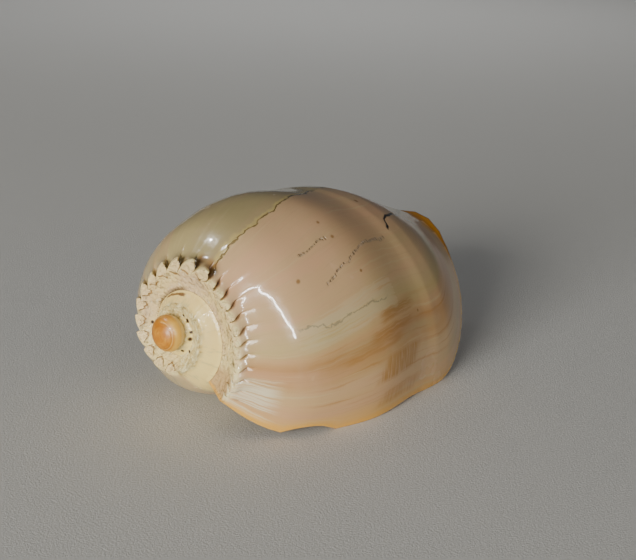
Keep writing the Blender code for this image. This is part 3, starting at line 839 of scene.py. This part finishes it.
class Paint:
    """A material under construction. Each call adds nodes and returns their output."""

    def __init__(self, name):
        self.material = bpy.data.materials.new(name)
        self.material.use_nodes = True
        self.tree = self.material.node_tree
        self.place = self.tree.nodes.new("ShaderNodeTexCoord").outputs["Object"]

    def feed(self, socket, value):
        if isinstance(value, bpy.types.NodeSocket):
            self.tree.links.new(value, socket)
        else:
            socket.default_value = value

    def node(self, kind, inputs, output=0, **settings):
        node = self.tree.nodes.new("ShaderNode" + kind)
        for key, value in settings.items():
            setattr(node, key, value)
        for key, value in inputs.items():
            self.feed(node.inputs[key], value)
        return node.outputs[output]

    def attribute(self, name):
        return self.node("Attribute", {}, "Fac", attribute_name=name)

    def math(self, operation, a, b=0.0):
        return self.node("Math", {0: a, 1: b}, operation=operation)

    def scaled(self, value, factor, offset):
        """The value times a factor, plus an offset."""
        return self.node("Math", {0: value, 1: factor, 2: offset}, operation="MULTIPLY_ADD")

    def times(self, *values):
        return reduce(lambda a, b: self.math("MULTIPLY", a, b), values)

    def most(self, *values):
        return reduce(lambda a, b: self.math("MAXIMUM", a, b), values)

    def fade(self, value, low, high):
        """0 at low and 1 at high, smooth between. Low may be the larger."""
        inputs = {"Value": value, "From Min": low, "From Max": high}
        return self.node("MapRange", inputs, interpolation_type="SMOOTHSTEP")

    def window(self, value, low, high, soft):
        """1 between low and high, falling to 0 over a soft width outside them."""
        return self.times(self.fade(value, low - soft, low), self.fade(value, high + soft, high))

    def line(self, offset, half, soft):
        """1 on a line, from the signed distance to it."""
        return self.fade(self.math("ABSOLUTE", offset), half + soft, half)

    def mix(self, share, below, above):
        return self.node("Mix", {0: share, 6: linear(below), 7: linear(above)}, 2, data_type="RGBA")

    def over(self, below, above, *shares):
        """A colour with another laid over it, as far as the product of the shares."""
        return self.mix(self.times(*shares), below, above)

    def lay(self, colour, *shares):
        """Lay a colour over the paint's own, as far as the product of the shares."""
        self.colour = self.over(self.colour, colour, *shares)

    def ramp(self, value, stops):
        """Colours at chosen values, blended between."""
        low, high = stops[0][0], stops[-1][0]
        share = self.node("MapRange", {"Value": value, "From Min": low, "From Max": high})
        node = self.tree.nodes.new("ShaderNodeValToRGB")
        elements = node.color_ramp.elements
        for k, (at, colour) in enumerate(stops):
            place = (at - low) / (high - low)
            element = elements[k] if k < 2 else elements.new(place)
            element.position = place
            element.color = linear(colour)
        self.feed(node.inputs[0], share)
        return node.outputs[0]

    def cloud(self, scale, detail=2.0, vector=None, roughness=0.55):
        """Noise from 0 to 1, in the object's own space or another."""
        inputs = {"Vector": vector or self.place, "Scale": scale, "Detail": detail, "Roughness": roughness}
        return self.node("TexNoise", inputs)

    def vector(self, x, y, z=0.0):
        return self.node("CombineXYZ", {0: x, 1: y, 2: z})

    def bump(self, height, distance, before=None):
        inputs = {"Height": height, "Distance": distance, "Strength": 1.0}
        if before:
            inputs["Normal"] = before
        return self.node("Bump", inputs)

    def finish(self, roughness, normal, coat=0.0, gloss=0.5):
        surface = self.tree.nodes["Principled BSDF"].inputs
        self.feed(surface["Base Color"], self.colour)
        self.feed(surface["Roughness"], roughness)
        self.feed(surface["Normal"], normal)
        self.feed(surface["Coat Weight"], coat)
        surface["Specular IOR Level"].default_value = gloss
        surface["Coat Roughness"].default_value = COAT_ROUGHNESS
        return self.material


class WallPaint(Paint):
    """Paint that knows its place on the wall: growth time, place on the profile, distance to the crown."""

    def __init__(self, name):
        super().__init__(name)
        self.time = self.attribute("growth_time")
        self.v = self.attribute("growth_place")
        self.run = self.attribute("crown_run")
        self.inside = self.attribute("inside")
        self.part = self.math("FRACT", self.attribute("spine_phase"))
        self.patches = self.cloud(42.0, 3.0)
        self.grain = self.cloud(420.0, 4.0, roughness=0.65)
        self.pocks = self.cloud(330.0, roughness=0.5)
        self.wander = self.scaled(self.cloud(130.0, 4.0, roughness=0.6), 1.0, -0.5)
        self.along = self.scaled(self.wander, 0.03, self.time)
        self.degrees = self.times(self.along, 180.0 / math.pi)
        self.on_ramp = self.fade(self.run, 0.3, -0.7)
        self.older = self.fade(self.degrees, OLD_FROM, OLD_FROM - 10.0)
        self.colour = self.ramp(self.degrees, BODY_COLOURS)
        self.cuts = 0.0

    def flow(self, name):
        """Noise drawn out along the growth lines."""
        time_rate, place_rate, detail, seed, roughness = FLOWS[name]
        place = self.vector(self.times(self.along, time_rate), self.times(self.v, place_rate), seed)
        return self.cloud(1.0, detail, place, roughness)

    def area(self, low, high, soft, v_low, v_high, v_soft):
        """1 in a patch between two growth times and two places on the profile."""
        along = self.window(self.degrees, low, high, soft)
        return self.times(along, self.window(self.v, v_low, v_high, v_soft))

    def wobbled(self, name):
        """Signed distance from a marked line, made unsteady."""
        return self.scaled(self.wander, MARKS[name].wobble, self.attribute(name))

    def reach(self, name):
        """1 between the ends of a marked line."""
        return self.window(self.v, MARKS[name].low, MARKS[name].high, MARKS[name].ends)

    def marked(self, name):
        """1 on a marked line."""
        on_line = self.line(self.wobbled(name), MARKS[name].half, MARKS[name].soft)
        return self.times(on_line, self.reach(name))

    def dots(self, place, wobble, core, spots):
        """1 in round spots. Each is a middle and a radius, the core is the share of it that is full."""
        found = []
        for middle, radius in spots:
            far = self.node("VectorMath", {0: place, 1: middle}, "Value", operation="DISTANCE")
            found.append(self.fade(self.scaled(self.wander, wobble, far), radius, core * radius))
        return self.most(*found)

    def cut(self, share, depth=1.0):
        """The same share, which is also kept for the bump as a cut of some depth."""
        self.cuts = self.scaled(share, depth, self.cuts)
        return share


def body_colour(p):
    """Drifts and streaks over the bands of the body. Returns their fine lines."""
    drift = p.flow("drift")
    p.lay((218, 170, 134), 0.45, p.fade(drift, 0.48, 0.7))
    p.lay((196, 178, 128), 0.45, p.fade(drift, 0.46, 0.28))
    p.lay((212, 176, 140), 0.35, p.fade(p.patches, 0.5, 0.75))
    p.lay((184, 128, 62), 0.6, p.fade(p.flow("streak"), 0.52, 0.72), p.area(*STREAKED))
    lines = p.flow("lines")
    darker = {0: p.fade(lines, 0.52, 0.8), 6: p.colour, 7: LINE_SHADE}
    p.colour = p.node("Mix", darker, 2, data_type="RGBA", blend_type="MULTIPLY")
    p.lay((216, 198, 150), 0.35, p.fade(p.flow("veil"), 0.58, 0.72))
    return lines


def blotched(p):
    """Brown blotches hatched by fine threads, and brown fibrous streaks before them."""
    threads = p.scaled(p.fade(p.flow("threads"), 0.34, 0.6), 0.75, 0.5)
    for low, high, v_low, v_high, strength in BLOTCHES:
        slant = p.scaled(p.scaled(p.degrees, 1.0, -low), BLOTCH_SLANT, p.v)
        inside = p.times(p.window(p.degrees, low, high, 2.2), p.window(slant, v_low, v_high, 0.03))
        p.lay((180, 126, 50), strength, threads, inside)
    fibres = p.fade(p.flow("fibres"), 0.34, 0.56)
    for low, high, v_low, v_high, strength in STREAKS:
        inside = p.area(low, high, 1.6, v_low, v_high, 0.035)
        p.lay((174, 120, 54), strength, fibres, inside)


def scarred(p):
    """The healed scar: olive wall before it, a pale halo, a groove, and its black end."""
    scar = p.wobbled("scar")
    before = p.times(p.fade(scar, 0.6, -0.6), p.fade(p.degrees, -150.0, -108.0))
    p.lay((160, 148, 108), 0.7, before, p.window(p.v, 0.07, 0.6, 0.06))
    halo = p.fade(p.math("ABSOLUTE", p.scaled(scar, 1.0, 0.9)), 2.4, 0.2)
    p.lay((206, 184, 116), 0.7, halo, p.reach("scar"))
    groove = p.times(p.marked("scar"), p.fade(p.patches, 0.3, 0.42))
    p.lay((112, 92, 50), 0.85, p.cut(groove, 0.8))
    black = p.times(p.line(p.scaled(scar, 1.0, -0.6), 0.2, 0.35), p.window(p.v, 0.385, 0.525, 0.01))
    p.lay((38, 32, 26), p.cut(black))


def marked_body(p):
    """The crack, the chains of pits, the vein, the spots and the stain. Returns the rough pale patch."""
    p.lay((36, 32, 26), p.cut(p.marked("crack")))

    broken = p.cloud(1.0, 1.0, p.vector(3.0, p.times(p.v, 210.0)))
    pitted = p.times(p.most(p.marked("pits"), p.marked("pits_before")), p.fade(broken, 0.46, 0.58))
    p.lay((92, 76, 48), 0.85, p.cut(pitted))

    pale = p.times(p.area(*PALE), p.fade(p.flow("pale"), 0.36, 0.56))
    p.lay((206, 192, 152), 0.5, pale)
    p.lay((128, 122, 98), 0.6, p.marked("vein"), p.fade(broken, 0.3, 0.45))

    on_wall = p.vector(p.times(p.time, BODY_RADIUS), p.times(p.v, PROFILE_LENGTH))
    spots = []
    for degrees, v, radius in SPOTS:
        spots.append(((math.radians(degrees) * BODY_RADIUS, v * PROFILE_LENGTH, 0.0), radius))
    p.lay((138, 98, 44), 0.75, p.dots(on_wall, SPOT_WOBBLE, SPOT_CORE, spots))
    p.lay((168, 118, 60), 0.8, p.area(*STAIN), p.fade(p.patches, 0.25, 0.6))
    return pale


def crown_colour(p):
    """Cream teeth, painted brown shade in the hollows in front of them, and olive rays between them on the
    body.
    """
    gap = p.most(p.fade(p.part, 0.7, 0.9), p.fade(p.part, 0.16, 0.02))
    tooth = p.window(p.part, 0.3, 0.75, 0.16)
    last_part = p.fade(p.degrees, -118.0, -95.0)
    ray = p.mix(last_part, (158, 138, 76), (176, 132, 76))
    p.lay(ray, 0.85, gap, p.fade(p.run, p.scaled(p.patches, 12.0, 0.5), 1.5))
    p.lay((232, 204, 158), 0.75, tooth, p.fade(p.run, 10.0, 1.0))
    cream = p.mix(p.fade(p.grain, 0.38, 0.66), (255, 238, 172), (252, 220, 160))
    open_gap = p.times(gap, p.fade(p.run, 0.2, 2.0))
    p.lay(cream, p.fade(p.run, 4.6, 1.0), p.fade(open_gap, 0.9, 0.2))
    # Painted shade: brown laid into the hollows in front of the teeth, where shade falls.
    brown = p.mix(last_part, (166, 136, 76), (164, 112, 54))
    p.lay(brown, 0.7, p.fade(p.attribute("hollow"), 0.22, 0.85))


def ramp_colour(p):
    """Chalky cream of the flat ramp between the crown and the seam, with painted shade in the low parts of
    its pocks and over the trough along the seam.
    """
    colour = p.mix(p.fade(p.patches, 0.36, 0.64), (255, 232, 164), (240, 210, 150))
    colour = p.over(colour, (186, 162, 104), 0.55, p.fade(p.grain, 0.58, 0.72))
    colour = p.over(colour, (255, 248, 216), 0.7, p.fade(p.grain, 0.42, 0.3))
    # Painted shade: darker where the pocks are low, in the troughs of their bump.
    colour = p.over(colour, (172, 150, 104), 0.75, p.fade(p.pocks, 0.46, 0.34))
    colour = p.over(colour, (226, 196, 172), 0.4, p.fade(p.patches, 0.52, 0.68))
    colour = p.over(colour, (208, 168, 118), 0.8, p.window(p.degrees, -20.0, 0.0, 12.0))
    seam = p.times(p.fade(p.v, -0.965, -0.995), p.fade(p.degrees, -335.0, -325.0))
    colour = p.over(colour, (158, 114, 54), 0.8, seam)
    # Painted shade: darker brown over the trough that sinks along the seam.
    sunk = p.times(p.fade(p.v, -0.7, -0.9), p.window(p.degrees, -196.0, -148.0, 14.0))
    return p.over(colour, (128, 102, 62), 0.85, sunk)


def scooped(p):
    """The brown crescent at the foot of each tooth on the ramp side, and its paler inside."""
    across = p.math("DIVIDE", p.math("SUBTRACT", p.part, SCOOP_AT), SCOOP_HALF)
    bow = p.math("SUBTRACT", 1.0, p.times(across, across))
    under = p.scaled(bow, SCOOP_DEEP, p.scaled(p.run, 1.0, SCOOP_FROM))
    grown = p.times(p.fade(bow, 0.0, 0.25), p.window(p.degrees, OLD_FROM, -52.0, 12.0))
    p.lay((255, 226, 170), 0.7, p.fade(under, 0.0, 0.4), p.fade(p.run, 0.4, -0.4), grown)
    crescent = p.times(p.line(under, 0.1, 0.34), grown)
    p.lay((160, 116, 58), 0.85, p.cut(crescent, 0.8))


def old_whorl(p):
    """The whorls before the last: chalky nodules, smooth cream beside them, painted shade between the
    nodules and in a crevice beside the seam, and pits.
    """
    chalky = p.mix(p.fade(p.grain, 0.35, 0.6), (255, 244, 190), (228, 204, 136))
    p.lay(chalky, p.older)
    cream = p.mix(p.fade(p.patches, 0.35, 0.7), (255, 231, 148), (248, 220, 144))
    cream = p.over(cream, (200, 188, 138), 0.5, p.fade(p.flow("veins"), 0.56, 0.7))
    p.lay(cream, p.older, p.fade(p.run, 0.8, 3.6))
    # Painted shade: grey-olive laid in the gaps between the nodules.
    between = p.most(p.fade(p.part, 0.72, 0.95), p.fade(p.part, 0.28, 0.05))
    p.lay((190, 178, 132), 0.45, p.older, between, p.window(p.run, -1.0, 3.2, 1.8))
    # Painted shade: a dark brown line in the crevice beside the seam.
    beside = p.line(p.scaled(p.scaled(p.wander, 0.06, p.v), 1.0, -CREVICE_PLACE), 0.006, 0.01)
    p.lay((104, 62, 26), 0.9, p.older, beside, p.window(p.degrees, *CREVICE))
    pits = [([MM * x for x in middle], MM * radius) for *middle, radius in APEX_PITS]
    p.lay((70, 42, 20), p.cut(p.dots(p.place, PIT_WOBBLE, PIT_CORE, pits)))


def lip_colour(p):
    """Whitish folds that fan out beside the lip, its yellow rim, and the orange edge of the notch."""
    p.lay((240, 232, 200), 0.75, p.area(*FAN), p.fade(p.flow("folds"), 0.4, 0.62))
    rim_from = p.scaled(p.fade(p.v, 0.06, 0.22), 2.6, -5.5)
    p.lay((238, 182, 84), 0.9, p.fade(p.degrees, rim_from, -0.8))
    p.lay((196, 132, 34), p.fade(p.time, -0.01, -0.001), p.fade(p.v, 0.7, 0.76))


def inside_colour(p):
    """Apricot, deeper away from the lip."""
    colour = p.mix(p.fade(p.time, -2.4, -0.3), (226, 168, 112), (238, 204, 156))
    return p.over(colour, (240, 214, 180), 0.4, p.fade(p.patches, 0.4, 0.7))


def wall_material():
    """The wall, outside and inside: everything is placed by growth time and place on the profile."""
    p = WallPaint("shell_wall")
    lines = body_colour(p)
    blotched(p)
    scarred(p)
    pale = marked_body(p)
    crown_colour(p)
    p.lay(ramp_colour(p), p.on_ramp)
    scooped(p)
    old_whorl(p)
    lip_colour(p)
    p.lay(inside_colour(p), p.inside)

    outer = p.math("SUBTRACT", 1.0, p.inside)
    chalk = p.most(p.on_ramp, p.times(p.fade(p.run, 4.0, 0.0), outer))
    roughness = p.scaled(p.fade(p.patches, 0.45, 0.8), 0.1, 0.2)
    roughness = p.scaled(chalk, 0.22, p.scaled(pale, 0.25, roughness))

    normal = p.bump(lines, LINES_DEEP)
    normal = p.bump(p.times(p.cloud(70.0), outer), SWELLS_DEEP, normal)
    normal = p.bump(p.times(p.scaled(p.pocks, 1.0, -0.5), chalk), POCKS_DEEP, normal)
    normal = p.bump(p.times(p.scaled(p.grain, 1.0, -0.5), chalk), GRAIN_DEEP, normal)
    normal = p.bump(p.times(p.cuts, -1.0), CUTS_DEEP, normal)
    coat = p.scaled(chalk, CHALK_COAT - WALL_COAT, WALL_COAT)
    return p.finish(roughness, normal, coat, WALL_GLOSS)


def columella_material():
    """Smooth pale apricot, streaked along the folds."""
    p = Paint("shell_columella")
    cloud = p.cloud(60.0, 3.0)
    along = p.vector(p.times(p.attribute("growth_time"), 1.5), p.times(p.attribute("growth_place"), 0.5))
    streaks = p.cloud(1.0, 3.0, along)
    p.colour = p.mix(p.fade(cloud, 0.35, 0.7), (240, 200, 148), (246, 218, 180))
    p.lay((220, 164, 108), 0.22, p.fade(streaks, 0.5, 0.7))
    return p.finish(p.scaled(cloud, 0.12, 0.2), p.bump(streaks, 0.0002), coat=0.35)


def apex_material():
    """The first whorls: orange-brown, with a paler whorl outside the groove."""
    p = Paint("shell_apex")
    polar = p.attribute("growth_place")
    turn = p.attribute("growth_time")
    start, growth = APEX_SUTURE
    off = p.math("SUBTRACT", polar, p.scaled(turn, growth, start))
    cloud = p.cloud(190.0, 3.0)
    ring = p.cloud(1.0, 3.0, p.vector(p.times(off, 9.0), p.times(turn, 0.7)))
    p.colour = p.mix(p.fade(cloud, 0.3, 0.7), (194, 120, 22), (212, 146, 44))
    p.lay((172, 98, 24), 0.5, p.fade(ring, 0.45, 0.7))
    p.lay((246, 200, 92), 0.75, p.fade(off, 0.02, 0.25), p.fade(turn, 0.2, 0.9))
    p.lay((240, 192, 104), 0.7, p.line(off, 0.012, 0.05))
    p.lay((236, 206, 140), p.fade(polar, 1.45, 1.75))
    return p.finish(p.scaled(cloud, 0.16, 0.3), p.bump(cloud, 0.00025), coat=0.15)


def floor_material():
    p = Paint("floor")
    grain = p.cloud(900.0, 3.0, roughness=0.7)
    p.colour = p.mix(grain, (206, 206, 203), (217, 217, 214))
    return p.finish(0.85, p.bump(grain, 0.0004))


def add_piece(name, skin, material, marks=None):
    """A piece of the shell, in the CAD's frame, standing for its node."""
    mesh = skin.mesh(name, marks)
    piece = bpy.data.objects.new(name, mesh)
    bpy.context.scene.collection.objects.link(piece)
    mesh.materials.append(material)
    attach(piece, "root")
    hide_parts("shell")


def add_shell():
    skin = Skin()
    outer_face(skin)
    inner_face(skin)
    lip(skin)
    closures(skin)
    add_piece("shell_wall", skin, wall_material(), wall_marks)
    add_piece("shell_columella", spindle(), columella_material())
    add_piece("shell_apex", apex(), apex_material())


def direction(azimuth, elevation):
    """Unit vector from the shell towards a direction. Azimuth 0 is -Y."""
    a = math.radians(azimuth)
    e = math.radians(elevation)
    return Vector((math.sin(a) * math.cos(e), -math.cos(a) * math.cos(e), math.sin(e)))


def view_axes():
    """Right, up and back of the camera, in the frame's axes."""
    a = math.radians(CAMERA_AZIMUTH)
    back = direction(CAMERA_AZIMUTH, CAMERA_ELEVATION)
    level = Vector((math.cos(a), math.sin(a), 0.0))
    right = Matrix.Rotation(math.radians(CAMERA_ROLL), 3, back) @ level
    return right, back.cross(right), back


def add_camera():
    """The photograph's camera, which sees the apex point at its pixel."""
    right, up, back = view_axes()
    across = (APEX_PIXEL[0] - PHOTO_WIDTH / 2) / FOCAL_PIXELS * CAMERA_DISTANCE
    above = (APEX_PIXEL[1] - PHOTO_HEIGHT / 2) / FOCAL_PIXELS * CAMERA_DISTANCE
    eye = Vector((APEX_X, APEX_Y, AXIS_HEIGHT)) + back * CAMERA_DISTANCE - right * across + up * above
    data = bpy.data.cameras.new("camera")
    data.sensor_fit = "HORIZONTAL"
    data.sensor_width = SENSOR
    data.lens = FOCAL_PIXELS / PHOTO_WIDTH * SENSOR
    data.clip_start = 0.01
    data.clip_end = 50.0
    camera = bpy.data.objects.new("camera", data)
    turn = Matrix((right, up, back)).transposed().to_4x4()
    camera.matrix_world = Matrix.Translation(eye * MM) @ turn
    bpy.context.scene.collection.objects.link(camera)
    bpy.context.scene.camera = camera


def add_area(name, middle, aim, sides, power, along=(0.0, 0.0, 1.0), colour=(1.0, 1.0, 1.0)):
    """A rectangular light that faces a point, its first side along a direction. Lengths in metres."""
    data = bpy.data.lights.new(name, "AREA")
    data.shape = "RECTANGLE"
    data.size, data.size_y = sides
    data.energy = power
    data.color = colour
    along = Vector(along)
    back = (middle - aim).normalized()
    across = (along - along.dot(back) * back).normalized()
    turn = Matrix((across, back.cross(across), back)).transposed().to_4x4()
    light = bpy.data.objects.new(name, data)
    light.matrix_world = Matrix.Translation(middle) @ turn
    light.visible_camera = False
    bpy.context.scene.collection.objects.link(light)
    return light


def add_key_and_fill():
    """A low key from the left, and a weak fill that leaves no reflection."""
    centre = Vector(LIGHT_CENTRE)
    middle = direction(*KEY_AT) * LIGHT_DISTANCE
    add_area("key", middle, centre, (KEY_SIZE, KEY_SIZE), KEY_POWER, colour=KEY_COLOUR)
    middle = direction(*FILL_AT) * LIGHT_DISTANCE
    fill = add_area("fill", middle, centre, (FILL_SIZE, FILL_SIZE), FILL_POWER)
    fill.visible_glossy = False


def add_far_light():
    """A light that faces the floor beyond the shell."""
    middle = Vector(FAR_AT)
    below = Vector((middle.x, middle.y, 0.0))
    far = add_area("far", middle, below, (FAR_SIZE, FAR_SIZE), FAR_POWER, along=(1.0, 0.0, 0.0))
    far.data.spread = FAR_SPREAD
    far.visible_glossy = False


def add_gloss_lights():
    """Bars whose reflection outlines the gloss, and the small light of the bright point at its left."""
    aim = MM * Vector(BAR_SPOT)
    ends = [aim + direction(*at) * GLOSS_DISTANCE for at in BAR_ENDS]
    for k, (a, b) in enumerate(zip(ends, ends[1:])):
        length = (b - a).length
        bar = add_area(f"bar_{k}", (a + b) / 2.0, aim, (length, BAR_WIDTH), BAR_POWER * length, b - a)
        bar.visible_diffuse = False
    aim = MM * Vector(SPARK_SPOT)
    middle = aim + direction(*SPARK_AT) * GLOSS_DISTANCE
    spark = add_area("spark", middle, aim, (SPARK_SIZE, SPARK_SIZE), SPARK_POWER)
    spark.visible_diffuse = False


def add_world():
    world = bpy.data.worlds.new("studio")
    world.use_nodes = True
    background = world.node_tree.nodes["Background"]
    background.inputs["Color"].default_value = (WORLD_GREY, WORLD_GREY, WORLD_GREY, 1.0)
    background.inputs["Strength"].default_value = WORLD_STRENGTH
    bpy.context.scene.world = world


def add_floor():
    mesh = bpy.data.meshes.new("floor")
    corners = [(x * FLOOR_REACH, y * FLOOR_REACH, 0.0) for x, y in ((-1, -1), (1, -1), (1, 1), (-1, 1))]
    mesh.from_pydata(corners, [], [(0, 1, 2, 3)])
    mesh.materials.append(floor_material())
    floor = bpy.data.objects.new("floor", mesh)
    bpy.context.scene.collection.objects.link(floor)


add_shell()
add_floor()
add_key_and_fill()
add_far_light()
add_gloss_lights()
add_world()
add_camera()
